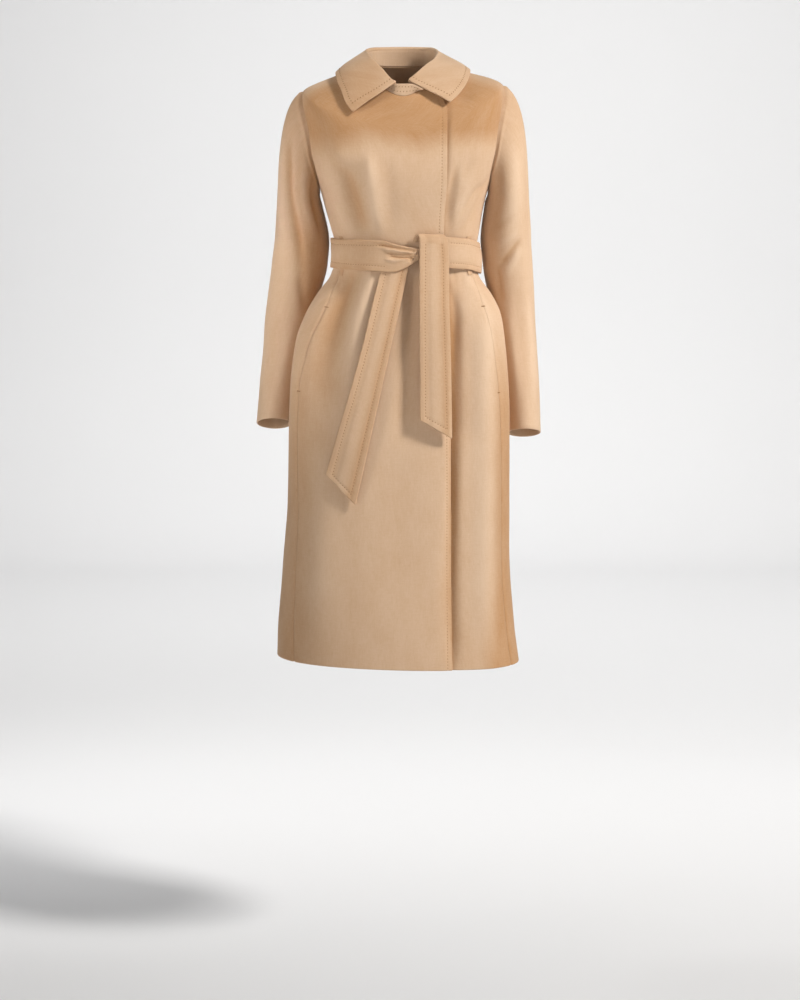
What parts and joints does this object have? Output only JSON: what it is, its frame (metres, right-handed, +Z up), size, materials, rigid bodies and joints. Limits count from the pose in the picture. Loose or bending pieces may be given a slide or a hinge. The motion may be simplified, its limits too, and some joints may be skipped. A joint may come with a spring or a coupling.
{
  "type": "double-breasted coat",
  "caption": "Knee-length wrap coat in worn form: wide overlapping fronts, pointed turn-down collar on a stand, set-in sleeves and a tie belt knotted at the front.",
  "frame": {"origin": "midway between the wearer's shoulders, at the height of the coat's neck points", "axes": "+X to the wearer's left, +Y from the front of the coat to its back, +Z up from the hem to the collar"},
  "size_m": [0.5223, 0.2856, 1.1049],
  "materials": {
    "coat_wool": "brushed wool with a short downward nap and a soft sheen",
    "belt_wool": "the same brushed wool in two layers, pressed flat"
  },
  "bodies": {
    "root": {"front_right": "coat_wool", "front_left": "coat_wool", "back": "coat_wool", "sleeve_right": "coat_wool", "sleeve_left": "coat_wool", "collar_stand": "coat_wool", "collar": "coat_wool", "belt": "belt_wool", "belt_knot": "belt_wool", "belt_end_front": "belt_wool", "belt_end_side": "belt_wool", "belt_loop_right": "belt_wool", "belt_loop_left": "belt_wool"}
  },
  "joints": []
}
